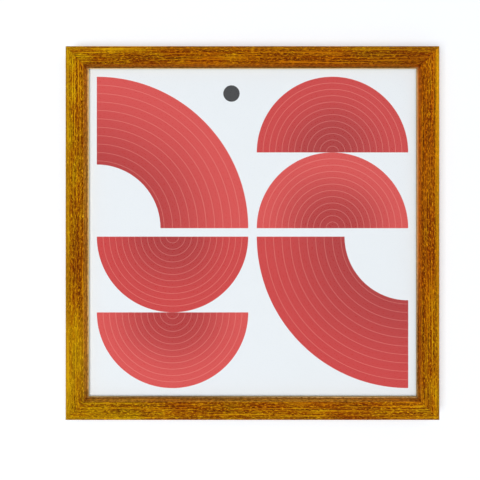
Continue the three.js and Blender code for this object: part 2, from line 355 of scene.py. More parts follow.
def coating_sink(side, along, across, height, girth):
    """How far the coating sinks below the plain section. The back and the rebate have none."""
    if height < REBATE_DEPTH + LIP_THICKNESS / 2 and across > 0:
        return 0
    spot = Vector((along, girth, WAVE_SHIFT * SIDES.index(side))) / WAVE_LENGTH
    return WAVE_DEPTH * (0.5 + 0.5 * noise.noise(spot))


def rounded_corner(along, across):
    """A place along and across a rail, drawn in where the frame's outer corner is rounded."""
    inset = HALF - abs(along)
    gap = math.hypot(CORNER_RADIUS - inset, CORNER_RADIUS - across)
    if inset < CORNER_RADIUS and across < CORNER_RADIUS and gap > CORNER_RADIUS:
        pull = CORNER_RADIUS / gap
        inset = CORNER_RADIUS - (CORNER_RADIUS - inset) * pull
        across = CORNER_RADIUS - (CORNER_RADIUS - across) * pull
        along = math.copysign(HALF - inset, along)
    return along, across


def unroll(mesh, flat, side):
    """Maps a rail by its length and the way round it, in decimetres, each rail on its own stretch."""
    count = len(SECTION)
    shift = MAP_SHIFT * SIDES.index(side)
    unrolled = mesh.uv_layers.new(name="unrolled")
    for face in mesh.polygons:
        wraps = {vertex % count for vertex in face.vertices} == {0, count - 1}
        for loop in face.loop_indices:
            vertex = mesh.loops[loop].vertex_index
            along, girth = flat[vertex]
            if wraps and vertex % count == 0:
                girth = GIRTH_TOTAL
            unrolled.data[loop].uv = (along / DECIMETRE + shift, girth / DECIMETRE)


def rail_blank(side):
    """A mitred length of the moulding, slightly uneven as coated wood is, with its corners eased."""
    normals = section_normals()
    places = ring_places()
    rings, flat = [], []
    for place in places:
        ease = MITRE_EASE if place in (places[0], places[-1]) else 0
        ring = []
        for (across, height), normal, girth in zip(SECTION, normals, GIRTHS):
            along = (place / HALF - 1) * (HALF - across - MITRE_GAP)
            sink = coating_sink(side, along, across, height, girth) + ease
            along, across_now = rounded_corner(along, across - normal.x * sink)
            ring.append(on_side(side, along, across_now, height - normal.y * sink))
            flat.append((along, girth))
        rings.append(ring)
    rail = mesh_object(f"{side}_rail_gilt", *loft(rings))
    unroll(rail.data, flat, side)
    return rail


def v_slot(corner, inset):
    """The outline of a V-nail's slot, in x and z, drawn along the mitre from the outer corner."""
    cos, sin = math.cos(NAIL_HALF_ANGLE), math.sin(NAIL_HALF_ANGLE)
    leg = NAIL_LEG + SLOT_CLEARANCE + SLOT_CLEARANCE / math.tan(NAIL_HALF_ANGLE)
    sheet = NAIL_SHEET + 2 * SLOT_CLEARANCE
    apex = inset * math.sqrt(2) - SLOT_CLEARANCE / sin
    points = [
        (apex, 0),
        (apex + leg * cos, -leg * sin),
        (apex + leg * cos + sheet * sin, -leg * sin + sheet * cos),
        (apex + sheet / sin, 0),
        (apex + leg * cos + sheet * sin, leg * sin - sheet * cos),
        (apex + leg * cos, leg * sin),
    ]
    outline = []
    for s, t in points:
        x, z = (s - t) / math.sqrt(2), (s + t) / math.sqrt(2)
        outline.append((corner[0] * (HALF - x), MIDDLE.z + corner[1] * (HALF - z)))
    return outline


def rail_cutter():
    """All slots and blind holes in the backs of the rails, as one object."""
    cuts = [(v_slot(corner, inset), NAIL_SLOT_DEPTH) for corner in CORNERS for inset in NAIL_APEX_INSETS]
    for name in sorted(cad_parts):
        if name.startswith(("button_screw", "hanger_nail")):
            low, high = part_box(name)
            shank = SCREW_RADIUS if name.startswith("button_screw") else TACK_RADIUS
            centre = ((low.x + high.x) / 2, (low.z + high.z) / 2)
            hole = arc(centre, shank + SLOT_CLEARANCE, 0, 360, HOLE_STEPS)[:-1]
            cuts.append((hole, BACK_Y - low.y + SLOT_CLEARANCE))
    vertices, faces = [], []
    for outline, depth in cuts:
        rings = [[(x, y, z) for x, z in outline] for y in (BACK_Y + OVERRUN, BACK_Y - depth)]
        more, sides = loft(rings)
        faces += [tuple(len(vertices) + i for i in face) for face in sides]
        vertices += more
    return mesh_object("rail_cutter", vertices, faces)


# Turn buttons and screws
def button_loops():
    """A button's outline, two rounds joined by their tangents, and its hole, round (0, 0)."""
    tail = BUTTON_REACH - BUTTON_TAIL_RADIUS
    lean = math.degrees(math.asin((BUTTON_HEAD_RADIUS - BUTTON_TAIL_RADIUS) / tail))
    outline = [
        *arc((0, 0), BUTTON_HEAD_RADIUS, 180 - lean, 360 + lean, BUTTON_HEAD_STEPS),
        *arc((0, tail), BUTTON_TAIL_RADIUS, lean, 180 - lean, BUTTON_TAIL_STEPS),
    ]
    return outline, arc((0, 0), SCREW_RADIUS + RUNNING_GAP, 0, 360, BUTTON_HOLE_STEPS)[:-1]


def turn_button(side, place):
    """A stamped button with its edges rolled over."""
    low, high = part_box(f"turn_button_{side}_{place}")
    pivot = sum(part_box(f"button_screw_{side}_{place}"), Vector()) / 2
    length_way, inward, _ = side_place(side)
    work = bmesh.new()
    edges = []
    for points in button_loops():
        corners = []
        for along, across in points:
            spot = pivot + length_way * along + inward * across
            corners.append(work.verts.new((spot.x, high.y, spot.z)))
        edges += [work.edges.new((corners[i - 1], corners[i])) for i in range(len(corners))]
    bmesh.ops.triangle_fill(work, edges=edges, use_beauty=True)
    mesh = bpy.data.meshes.new("button")
    fill_mesh(mesh, work)
    button = linked(f"{side}_{place}_button", mesh)
    thick = button.modifiers.new("sheet", "SOLIDIFY")
    thick.thickness = high.y - low.y
    thick.offset = -1 if mesh.polygons[0].normal.y > 0 else 1
    bevel(button, BUTTON_EDGE, segments=3, angle=60)
    return applied(button)


def thread_radius(y, turn, length):
    """The shank's radius at a height and a share of a turn."""
    tip = min(1, (y + length) / SCREW_TIP)
    phase = (y / SCREW_PITCH - turn) % 1
    crest = max(0, 1 - abs(phase - 0.5) * 4)
    return tip * (SCREW_CORE_RADIUS + (SCREW_RADIUS - SCREW_CORE_RADIUS) * crest)


def screw_blank(length, head):
    """A threaded shank under a domed head, on the y axis with the seat at y = 0."""
    threaded = length - SCREW_NECK
    steps = int(threaded / SCREW_PITCH * RINGS_A_PITCH)
    sections = []
    for i in range(1, steps + 1):
        y = -length + threaded * i / steps
        sections.append([(thread_radius(y, k / SCREW_SIDES, length), y) for k in range(SCREW_SIDES)])
    rim = EASE / 2
    profile = [(SCREW_CORE_RADIUS, -SCREW_NECK_TOP), (SCREW_CORE_RADIUS, 0)]
    profile += arc((SCREW_HEAD_RADIUS - rim, rim), rim, 270, 360, ARRIS_STEPS)
    for i in range(DOME_STEPS):
        angle = math.pi / 2 * i / DOME_STEPS
        dome = (head - SCREW_HEAD_RIM) * math.sin(angle)
        profile.append((SCREW_HEAD_RADIUS * math.cos(angle), SCREW_HEAD_RIM + dome))
    sections += [[point] * SCREW_SIDES for point in profile]
    rings = []
    for section in sections:
        ring = []
        for k, (radius, y) in enumerate(section):
            angle = 2 * math.pi * k / SCREW_SIDES
            ring.append((radius * math.cos(angle), y, radius * math.sin(angle)))
        rings.append(ring)
    return mesh_object("screw", *loft(rings, ((0, -length, 0), (0, head, 0))))


def cross_cutter(head):
    """The cross recess in a screw's head, narrower and shorter at its floor."""
    levels = ((head - RECESS_DEPTH, RECESS_FLOOR_SHARES), (head + OVERRUN, RECESS_TOP_SHARES))
    rings = []
    for y, (length_share, width_share) in levels:
        reach = RECESS_LENGTH / 2 * length_share
        half = RECESS_WIDTH / 2 * width_share
        ring = []
        for quarter in range(4):
            turn = Matrix.Rotation(-math.pi / 2 * quarter, 3, "Y")
            ring += [turn @ Vector((x, y, z)) for x, z in ((half, half), (half, reach), (-half, reach))]
        rings.append(ring)
    return mesh_object("cross", *loft(rings))


def screw_mesh():
    """The mesh that all screws share, and the height of its seat."""
    low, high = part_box("button_screw_top_left")
    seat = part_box("turn_button_top_left")[1].y + RUNNING_GAP
    cross = cross_cutter(high.y - seat)
    screw = carve(screw_blank(seat - low.y, high.y - seat), cross)
    bpy.data.objects.remove(cross)
    smooth_below(screw.data, 40)
    mesh = screw.data
    bpy.data.objects.remove(screw)
    return mesh, seat


# Smaller pieces
def felt_bumper(place):
    """A cut felt disc: rounded rim, its surface lumpy with matted fibre."""
    low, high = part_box(f"wall_bumper_{place}")
    centre = (low + high) / 2
    radius = (high.x - low.x) / 2
    thick = high.y - low.y
    shift = Vector((FELT_LUMP_SHIFTS[place], 0, 0))
    profile = [(radius * share, thick) for share in FELT_FACE_RINGS]
    profile += arc((radius - FELT_EDGE, thick - FELT_EDGE), FELT_EDGE, 90, 0, FELT_EDGE_STEPS)
    profile += [(radius, thick * FELT_WAIST_SHARE), (radius - FELT_UNDERCUT, 0), (radius / 2, 0)]
    rings = []
    for distance, rise in profile:
        ring = []
        for k in range(FELT_SIDES):
            angle = 2 * math.pi * k / FELT_SIDES
            out = Vector((math.cos(angle), 0, math.sin(angle)))
            spot = out * distance + Vector((0, rise, 0))
            inward = FELT_ROUGH * (0.5 + 0.5 * noise.noise(spot / FELT_LUMP + shift))
            spot -= out * inward * (distance / radius)
            if rise > thick / 2:
                spot.y -= inward * FELT_FACE_ROUGH_SHARE
            ring.append((centre.x + spot.x, low.y + spot.y, centre.z + spot.z))
        rings.append(ring)
    felt = mesh_object(
        f"felt_{place}", *loft(rings, ((centre.x, high.y, centre.z), (centre.x, low.y, centre.z)))
    )
    smooth_below(felt.data, 60)
    return felt


def glass_pane():
    """The pane, a slab with its edges seamed."""
    low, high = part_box("glass_pane")
    back = high.y - PANE_CLEARANCE
    levels = (
        (low.y, PANE_SEAM), (low.y + PANE_SEAM, 0), (back - PANE_SEAM, 0), (back, PANE_SEAM),
    )
    rings = []
    for y, inset in levels:
        corners = rectangle(low.x + inset, low.z + inset, high.x - inset, high.z - inset)
        rings.append([(x, y, z) for x, z in corners])
    return mesh_object("pane", *loft(rings))


def soften(node, width, material, angle=30):
    """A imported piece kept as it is, its sharp edges broken by a fine bevel."""
    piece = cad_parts[node]
    coat(piece, material)
    weld = piece.modifiers.new("weld", "WELD")
    weld.merge_threshold = WELD_GAP
    flat = piece.modifiers.new("flat", "DECIMATE")
    flat.decimate_type = "DISSOLVE"
    flat.angle_limit = math.radians(FLAT_DEGREES)
    bevel(piece, width, 2, angle)


# Materials
def srgb(red, green, blue):
    """A colour given in 8-bit values, as the linear values that nodes hold."""
    linear = []
    for value in (red, green, blue):
        share = value / 255
        linear.append(share / 12.92 if share <= 0.04045 else ((share + 0.055) / 1.055) ** 2.4)
    return (*linear, 1)


class Recipe:
    """The nodes of a material or a world, with short calls for those that it uses."""

    def __init__(self, owner, output="ShaderNodeOutputMaterial"):
        owner.use_nodes = True
        self.owner = owner
        self.tree = owner.node_tree
        self.tree.nodes.clear()
        self.output = self.tree.nodes.new(output)

    def link(self, value, socket):
        """Joins an output to a socket, or sets the socket's own value."""
        if isinstance(value, bpy.types.NodeSocket):
            self.tree.links.new(value, socket)
        else:
            socket.default_value = value

    def node(self, kind, settings=None, **inputs):
        """A node with its settings and its named inputs."""
        made = self.tree.nodes.new(kind)
        for key, value in (settings or {}).items():
            setattr(made, key, value)
        for key, value in inputs.items():
            self.link(value, made.inputs[key.replace("_", " ")])
        return made

    def fed(self, made, values):
        """A node with its inputs given in their order."""
        for value, socket in zip(values, made.inputs):
            self.link(value, socket)
        return made

    def math(self, operation, a, b=0.0, c=0.0):
        return self.fed(self.node("ShaderNodeMath", {"operation": operation}), (a, b, c)).outputs[0]

    def times(self, a, b):
        return self.math("MULTIPLY", a, b)

    def linear(self, value, scale, base):
        """A value times a scale, added to a base."""
        return self.math("MULTIPLY_ADD", value, scale, base)

    def inverse(self, value):
        """What a share leaves of 1."""
        return self.math("SUBTRACT", 1.0, value)

    def most(self, first, *others):
        """The greatest of several values."""
        for other in others:
            first = self.math("MAXIMUM", first, other)
        return first

    def between(self, value, low, high, to_low=0.0, to_high=1.0):
        """A smooth step from one value at a low place to another at a high one."""
        made = self.node("ShaderNodeMapRange", {"interpolation_type": "SMOOTHSTEP"})
        return self.fed(made, (value, low, high, to_low, to_high)).outputs[0]

    def mix(self, share, a, b):
        """A mix of two colours, which a mix node takes in sockets 6 and 7 and gives in socket 2."""
        made = self.node("ShaderNodeMix", {"data_type": "RGBA"})
        for value, index in ((share, 0), (a, 6), (b, 7)):
            self.link(value, made.inputs[index])
        return made.outputs[2]

    def ramp(self, value, stops):
        """A colour for each value, by stops of a place and a colour."""
        made = self.tree.nodes.new("ShaderNodeValToRGB")
        points = made.color_ramp.elements
        while len(points) < len(stops):
            points.new(0.5)
        for point, (place, colour) in zip(points, stops):
            point.position = place
            point.color = colour
        return self.fed(made, (value,)).outputs[0]

    def noise(self, vector, scale, detail=2.0, roughness=0.5, distortion=0.0):
        return self.node(
            "ShaderNodeTexNoise", Vector=vector, Scale=scale, Detail=detail, Roughness=roughness,
            Distortion=distortion,
        ).outputs["Fac"]

    def scaled(self, vector, scale, place=(0, 0, 0)):
        """A vector stretched by a scale for each axis, then moved."""
        return self.node("ShaderNodeMapping", Vector=vector, Scale=scale, Location=place).outputs[0]

    def object_place(self):
        """The place on the piece, in its own metres."""
        return self.node("ShaderNodeTexCoord").outputs["Object"]

    def split(self, vector):
        return self.fed(self.node("ShaderNodeSeparateXYZ"), (vector,)).outputs

    def bump(self, height, strength, distance):
        made = self.node("ShaderNodeBump", Strength=strength, Distance=distance, Height=height)
        return made.outputs[0]

    def outside(self):
        """One on the faces that look towards the ray."""
        return self.inverse(self.node("ShaderNodeNewGeometry").outputs["Backfacing"])

    def blend(self, share, first, second):
        """A mix of two shaders."""
        made = self.node("ShaderNodeMixShader")
        return self.fed(made, (share, first.outputs[0], second.outputs[0]))

    def show(self, shader):
        """Puts a shader at the output."""
        self.link(shader.outputs[0], self.output.inputs["Surface"])
        return self.owner

    def surface(self, **inputs):
        """Puts a Principled surface at the output."""
        return self.show(self.node("ShaderNodeBsdfPrincipled", **inputs))


class Gilding(Recipe):
    """Bronze laid over a combed brown ground, with a tone for each part of the moulding and painted light
    and shade laid on by side.

    Thin dark lines run along the rail between bright ones, with flecks where it is rubbed through. The
    shares and masks run from 0 to 1. Distances round the section are in millimetres.
    """

    GROUND = srgb(70, 26, 0)

    def __init__(self):
        super().__init__(bpy.data.materials.new("gilt"))
        self.unrolled = self.node("ShaderNodeUVMap", {"uv_map": "unrolled"}).outputs[0]
        self.girth = self.times(self.split(self.unrolled)[1], DECIMETRE / MM)
        self.place = self.object_place()
        self.x, _, z = self.split(self.place)
        self.rise = self.math("SUBTRACT", z, MIDDLE.z)
        self.x_size = self.math("ABSOLUTE", self.x)
        self.rise_size = self.math("ABSOLUTE", self.rise)
        self.upright = self.between(self.math("SUBTRACT", self.x_size, self.rise_size), -0.01, 0.01)
        self.level = self.inverse(self.upright)
        # masks for the sides that painted light and shade are laid by: towards the top right, away from
        # the key lamp, and towards the lower right
        self.top_right = self.between(self.math("ADD", self.x, self.rise), -0.08, 0.08)
        self.low_right = self.between(self.math("SUBTRACT", self.x, self.rise), -0.08, 0.08)
        self.right_rail = self.times(self.top_right, self.upright)
        # painted highlight on the right rail, fading out towards its bottom, laid on its slope and bead
        self.right_rail_highlight = self.times(self.right_rail, self.between(self.rise, -0.11, 0.0, to_high=0.8))
        self.lines = self.layer(length=90, width=0.95, seed=1.7)
        wear = self.layer(length=3.4, width=2.6, seed=18.6, roughness=0.65, bend=0.1)
        self.wear = self.linear(wear, 0.8, self.times(self.lines, 0.2))

    def layer(self, length, width, seed, detail=3.0, roughness=0.55, bend=0.05):
        """Noise stretched along the rail, its features of a length and width in millimetres."""
        scale = (DECIMETRE / MM / length, DECIMETRE / MM / width, 1.0)
        spot = self.scaled(self.unrolled, scale, (seed, 2.3 * seed, 0))
        return self.noise(spot, 1.0, detail, roughness, bend)

    def past(self, part, start, full, to_high=1.0, girth=None):
        """A mask that rises between two distances past the end of a part of the moulding."""
        end = PART_ENDS[part] / MM
        return self.between(girth or self.girth, end + start, end + full, to_high=to_high)

    def streaks(self, dark, pale):
        """Two tones streaked as the coating is worn."""
        return self.ramp(self.wear, [(0.4, dark), (0.6, pale)])

    def tone(self):
        """How light and yellow the bronze is, and how near to the slope: yellower at the corners, lighter
        and yellower towards the left and the bottom and darkest towards the top right as painted light
        from the key lamp's side, over an uneven tone from place to place.
        """
        corner = self.between(self.math("MINIMUM", self.x_size, self.rise_size), 0.03, 0.17)
        lean = self.linear(corner, 0.075, 0.11)
        # painted light: lighter and yellower towards the left and the bottom, where the key lamp falls,
        # darkest towards the top right
        lean = self.linear(self.x, -0.34, lean)
        lean = self.linear(self.rise, -0.25, lean)
        lean = self.linear(self.times(self.x, self.rise), -0.6, lean)
        cloud = self.layer(length=26, width=8, seed=9.1, bend=0.2)
        tone = self.linear(cloud, 0.4, self.linear(self.noise(self.place, 13.0), 0.25, lean))
        inner = self.past("face", -11, -2)
        return self.linear(inner, -0.05, tone), inner

    def face(self):
        """The bronze of the face, and where it is grooved, lit and worn through."""
        tone, inner = self.tone()
        gold = self.ramp(tone, [
            (0.42, srgb(136, 53, 0)), (0.51, srgb(158, 84, 0)), (0.6, srgb(177, 130, 0)),
        ])
        gold = self.mix(self.times(inner, 0.35), gold, srgb(132, 66, 0))
        hairs = self.layer(length=30, width=0.75, seed=3.7, bend=0.08)
        bands = self.layer(length=150, width=5, seed=5.3, detail=1.0, roughness=0.5)
        speckle = self.layer(length=3, width=0.8, seed=15.2, detail=2.0, roughness=0.6, bend=0.0)
        glints = self.layer(length=5.5, width=0.75, seed=12.4, detail=2.0, roughness=0.6, bend=0.1)
        flecks = self.layer(length=3, width=1.1, seed=7.9, detail=2.0, roughness=0.6, bend=0.2)
        rough_patch = self.between(self.noise(self.place, 21.0), 0.42, 0.6)
        combed = self.linear(rough_patch, -0.3, 0.82)
        gritty = self.linear(rough_patch, 0.5, 0.5)
        groove = self.most(
            self.times(self.between(self.lines, 0.52, 0.39), combed),
            self.times(self.between(hairs, 0.48, 0.36), combed),
            self.between(bands, 0.5, 0.34, to_high=0.5),
            self.times(self.between(speckle, 0.5, 0.34, to_high=0.8), gritty),
        )
        gold = self.mix(groove, gold, self.GROUND)
        lit = self.most(
            self.between(self.lines, 0.52, 0.64, to_high=0.68),
            self.between(glints, 0.54, 0.68, to_high=0.9),
            self.between(speckle, 0.54, 0.68, to_high=0.8),
        )
        glow = self.ramp(tone, [(0.34, srgb(219, 132, 4)), (0.56, srgb(233, 183, 10))])
        gold = self.mix(lit, gold, glow)
        fleck = self.between(flecks, 0.61, 0.66)
        gold = self.mix(self.times(fleck, 0.85), gold, srgb(78, 20, 0))
        return gold, self.most(groove, fleck), groove, lit

    def painted_light_and_shade(self, gold):
        """A painted highlight on the outer strip, strongest on the upright rails and faint at the bottom,
        painted shade on the top rail's right end, and the left rail yellower low down.
        """
        # painted highlight along the outer shoulder, stronger on the upright rails than on the level ones
        upright_rim = self.linear(self.times(self.top_right, self.rise), 1.1, 0.32)
        level_rim = self.linear(self.rise, 0.3, 0.06)
        strength = self.most(self.times(self.upright, upright_rim), level_rim)
        rim = self.times(self.past("shoulder", 3.5, 0), strength)
        gold = self.mix(rim, gold, srgb(206, 162, 10))
        # painted shade: the top rail's right end darkened with the ground colour
        top_rail = self.times(self.level, self.between(self.rise, -0.01, 0.01))
        top_right_shade = self.between(self.times(top_rail, self.x), 0.06, 0.15, to_high=0.33)
        gold = self.mix(top_right_shade, gold, self.GROUND)
        low_down = self.times(self.between(self.rise, -0.06, -0.1), self.between(self.rise, -0.16, -0.14))
        left_rail = self.times(self.upright, self.between(self.x, 0.0, -0.01, to_high=0.2))
        return self.mix(self.times(low_down, left_rail), gold, srgb(220, 170, 10))

    def slope(self, gold):
        """The slope streaked with brown, one copy for the top and right rails and another for the bottom
        and left as painted light and shade, with a painted highlight at its foot and another on the right
        rail.
        """
        slope = self.times(self.past("face", -0.3, 0.3), self.past("slope", 0.1, -0.2))
        # painted light and shade: a different brown for the top and right rails than for the bottom and
        # left
        brown = self.mix(
            self.top_right,
            self.streaks(srgb(110, 62, 6), srgb(244, 176, 56)),
            self.streaks(srgb(132, 52, 0), srgb(240, 140, 12)),
        )
        # painted highlight at the slope's foot, left off the right rail
        foot_highlight = self.past("slope", -2.2, -0.2, to_high=0.5)
        foot_highlight = self.times(foot_highlight, self.linear(self.upright, 0.6, 0.8))
        foot_highlight = self.times(foot_highlight, self.inverse(self.right_rail))
        brown = self.mix(foot_highlight, brown, srgb(250, 196, 96))
        gold = self.mix(self.times(slope, 0.6), gold, brown)
        # painted highlight on the right rail's slope, fading out low down
        right_slope_highlight = self.times(self.times(slope, self.past("slope", -1.6, -1.1)), self.right_rail_highlight)
        return self.mix(right_slope_highlight, gold, srgb(250, 178, 96))

    def bead(self, gold):
        """The bead streaked in tan, as worn gilding and as a painted highlight together, with painted
        shade on the level rails and low on the right one, and a further painted highlight on the right
        rail.
        """
        bead = self.times(self.past("slope", -0.05, 0.2), self.past("bead", 0.1, -0.3))
        tan = self.streaks(srgb(136, 92, 34), srgb(222, 176, 108))
        # painted shade on the bead: darker on the level rails and low on the right rail
        dull = self.most(self.top_right, self.between(self.x, 0.1, -0.05, to_high=0.9))
        low = self.between(self.rise, -0.02, -0.12, to_high=0.7)
        dull = self.most(self.times(self.level, dull), self.times(self.right_rail, low))
        tan = self.mix(self.times(dull, 0.65), tan, srgb(120, 84, 30))
        # painted highlight on the right rail's bead
        tan = self.mix(self.right_rail_highlight, tan, srgb(228, 174, 114))
        return self.mix(bead, gold, tan)

    def lip(self, gold):
        """The lip as painted light and shade: cream on the left and top, shaded brown on the bottom and
        right.
        """
        # painted shade: the brown darker towards the bottom rail's left end
        shade = self.between(self.times(self.level, self.x), 0.02, -0.08)
        brown = self.mix(shade, srgb(172, 142, 86), srgb(128, 98, 48))
        cream = self.mix(self.low_right, srgb(255, 224, 150), brown)
        return self.mix(self.past("bead", -0.3, 0.1), gold, cream)

    def wood(self):
        """Where the wood is bare, on the back and in the rebate past a feathered edge, and its grain."""
        feather = self.linear(self.noise(self.place, 160.0, 3.0, 0.7), 2.4, -1.2)
        bare = self.past("lip", -0.2, 0.2, girth=self.math("ADD", self.girth, feather))
        grain = self.layer(length=20, width=1.1, seed=2.2, detail=4.0, roughness=0.6, bend=0.6)
        return bare, self.ramp(grain, [
            (0.3, srgb(150, 112, 68)), (0.5, srgb(198, 162, 112)), (0.7, srgb(222, 190, 142)),
        ])


def gilt_material():
    """The gilding on the front and sides of the rails, and bare wood behind."""
    r = Gilding()
    gold, hollow, groove, lit = r.face()
    for part in (r.painted_light_and_shade, r.slope, r.bead, r.lip):
        gold = part(gold)
    bare, wood = r.wood()
    relief = r.math("SUBTRACT", r.times(lit, 0.6), hollow)
    return r.surface(
        Base_Color=r.mix(bare, gold, wood),
        Metallic=r.times(r.inverse(bare), r.linear(groove, -0.25, 0.85)),
        Roughness=r.linear(bare, 0.25, r.linear(hollow, 0.2, 0.42)),
        Normal=r.bump(relief, 0.45, 0.22 * MM),
        Specular_IOR_Level=0.25,
        Specular_Tint=(1, 0.78, 0.4, 1),
    )


def glass_material():
    """A clear pane: light goes straight through it, and its faces reflect."""
    r = Recipe(bpy.data.materials.new("clear_pane"))
    smears = r.noise(r.object_place(), 22.0, 4.0, 0.6)
    rough = r.between(smears, 0.3, 0.8, 0.015, 0.06)
    gloss = r.node("ShaderNodeBsdfAnisotropic", Color=srgb(255, 255, 255), Roughness=rough)
    clear = r.node("ShaderNodeBsdfTransparent", Color=(0.997, 0.999, 0.998, 1))
    fresnel = r.node("ShaderNodeFresnel", IOR=1.42).outputs[0]
    return r.show(r.blend(r.times(fresnel, r.outside()), clear, gloss))


# The printed sheet, in millimetres from its middle
TILE = 144
TILE_GAP = 8
HEART_SHARE = 0.42
TILE_PINS = 8
HILL_PINS = 6
PIN_WIDTH = 0.55
DOT_PLACE = (-20, 132)
DOT_RADIUS = 7.8
LIGHT_REDS = (srgb(168, 14, 18), srgb(209, 64, 62))
DEEP_REDS = (srgb(162, 10, 16), srgb(196, 42, 42))


class Print(Recipe):
    """Inks on coated paper."""

    def __init__(self):
        super().__init__(bpy.data.materials.new("printed_paper"))
        place = self.object_place()
        x, _, z = self.split(place)
        self.x = self.math("DIVIDE", x, MM)
        self.z = self.math("DIVIDE", self.math("SUBTRACT", z, MIDDLE.z), MM)
        self.grain = self.noise(place, 2600.0, 2.0, 0.6)
        self.tone = self.noise(place, 9.0)
        self.paper = self.mix(self.grain, srgb(228, 233, 238), srgb(234, 239, 244))

    def above(self, value, edge):
        return self.math("GREATER_THAN", value, edge)

    def below(self, value, edge):
        return self.math("LESS_THAN", value, edge)

    def within(self, left, right, bottom, top):
        """One inside a rectangle."""
        across = self.times(self.above(self.x, left), self.below(self.x, right))
        return self.times(across, self.times(self.above(self.z, bottom), self.below(self.z, top)))

    def distance(self, x, z):
        """How far it is to a point."""
        across = self.math("SUBTRACT", self.x, x)
        up = self.math("SUBTRACT", self.z, z)
        return self.math("SQRT", self.math("ADD", self.times(across, across), self.times(up, up)))

    def ink(self, mask, under, reds, away, reach, pitch):
        """A round of ink that lightens towards its rim, with fine arcs at a steady pitch."""
        uneven = self.math("ADD", away, self.times(self.tone, 30.0))
        colour = self.mix(self.between(uneven, 0.35 * reach, 1.15 * reach), *reds)
        pins = self.below(self.math("PINGPONG", away, pitch / 2), PIN_WIDTH / 2)
        colour = self.mix(self.times(pins, 0.28), colour, srgb(240, 170, 160))
        thin = self.times(self.between(self.grain, 0.62, 0.8), 0.2)
        colour = self.mix(thin, colour, self.paper)
        return self.mix(mask, under, colour)


def print_material():
    """Four square tiles of bold rounds in reds on white, two of them bare at the heart, and a dark dot."""
    r = Print()
    near, far = TILE_GAP / 2, TILE_GAP / 2 + TILE
    colour = r.paper
    quarters = (
        ((-far, near), r.within(-far, -near, near, far), LIGHT_REDS),
        ((far, -near), r.within(near, far, -far, -near), DEEP_REDS),
    )
    for corner, tile, reds in quarters:
        away = r.distance(*corner)
        ring = r.times(r.above(away, HEART_SHARE * TILE), r.below(away, TILE))
        colour = r.ink(r.times(tile, ring), colour, reds, away, TILE, TILE_PINS)
    half = TILE / 2
    middle = near + half
    hills = (
        (middle, near, r.above, LIGHT_REDS), (middle, near + half, r.above, DEEP_REDS),
        (-middle, -near, r.below, DEEP_REDS), (-middle, -near - half, r.below, LIGHT_REDS),
    )
    for x, base, side, reds in hills:
        away = r.distance(x, base)
        mask = r.times(side(r.z, base), r.below(away, half))
        colour = r.ink(mask, colour, reds, away, half, HILL_PINS)
    colour = r.mix(r.below(r.distance(*DOT_PLACE), DOT_RADIUS), colour, srgb(34, 35, 39))
    return r.surface(
        Base_Color=colour,
        Roughness=r.between(r.grain, 0.3, 0.8, 0.42, 0.56),
        Normal=r.bump(r.grain, 0.12, 0.02 * MM),
    )


def card_material():
    """Brown fluted card with upright fibres."""
    r = Recipe(bpy.data.materials.new("fluted_card"))
    fibres = r.noise(r.scaled(r.object_place(), (500.0, 500.0, 120.0)), 1.0, 4.0, 0.7, 0.6)
    return r.surface(
        Base_Color=r.ramp(fibres, [(0.3, srgb(146, 108, 66)), (0.7, srgb(196, 158, 110))]),
        Roughness=r.between(fibres, 0.2, 0.8, 0.8, 0.95),
        Normal=r.bump(fibres, 0.4, 0.1 * MM),
    )


SCREEN_PITCH = 1.3 * MM


def hardboard_material():
    """Pressed fibre with the screen pattern of its rough side."""
    r = Recipe(bpy.data.materials.new("hardboard"))
    place = r.object_place()
    x, _, z = r.split(place)
    wave_x, wave_z = (r.math("SINE", r.times(way, 2 * math.pi / SCREEN_PITCH)) for way in (x, z))
    fibres = r.noise(place, 900.0, 5.0, 0.7, 1.2)
    clumps = r.noise(place, 90.0, 4.0, 0.7)
    tone = r.linear(fibres, 0.7, r.times(clumps, 0.3))
    return r.surface(
        Base_Color=r.ramp(tone, [
            (0.36, srgb(88, 56, 34)), (0.5, srgb(124, 84, 52)), (0.64, srgb(160, 116, 76)),
        ]),
        Roughness=r.between(fibres, 0.3, 0.7, 0.75, 0.92),
        Normal=r.bump(r.linear(r.times(wave_x, wave_z), 0.22, fibres), 0.6, 0.2 * MM),
    )


def plated_material(name, dull, bright):
    """Plated sheet metal with handling marks and a slightly uneven plate."""
    r = Recipe(bpy.data.materials.new(name))
    place = r.object_place()
    marks = r.noise(place, 300.0, 4.0, 0.65, 0.4)
    cloud = r.noise(place, 120.0, 3.0, 0.6)
    return r.surface(
        Base_Color=r.mix(r.between(cloud, 0.25, 0.75), dull, bright),
        Metallic=1.0,
        Roughness=r.linear(marks, 0.28, 0.2),
        Normal=r.bump(marks, 0.15, 0.05 * MM),
    )


def felt_material():
    """Dark matted wool."""
    r = Recipe(bpy.data.materials.new("felt"))
    place = r.object_place()
    fibres = r.noise(place, 1500.0, 5.0, 0.75, 2.0)
    tufts = r.noise(place, 420.0, 3.0, 0.7, 1.0)
    tone = r.linear(fibres, 0.6, r.times(tufts, 0.4))
    return r.surface(
        Base_Color=r.ramp(tone, [
            (0.35, srgb(38, 35, 33)), (0.5, srgb(66, 61, 57)), (0.68, srgb(104, 97, 90)),
        ]),
        Roughness=r.between(fibres, 0.3, 0.7, 0.9, 1.0),
        Normal=r.bump(tone, 0.9, 0.35 * MM),
        Sheen_Weight=0.35,
    )


GILT = gilt_material()
BRASSED = plated_material("brassed_steel", srgb(176, 138, 70), srgb(214, 178, 104))
ZINC = plated_material("zinc_steel", srgb(158, 162, 166), srgb(206, 208, 208))
FELT = felt_material()

# The pieces that stand for packed ones
cutter = rail_cutter()
for side in SIDES:
    rail = carve(rail_blank(side), cutter)
    smooth_below(rail.data)
    dress(rail, GILT, nodes=[f"{side}_rail"])
bpy.data.objects.remove(cutter)

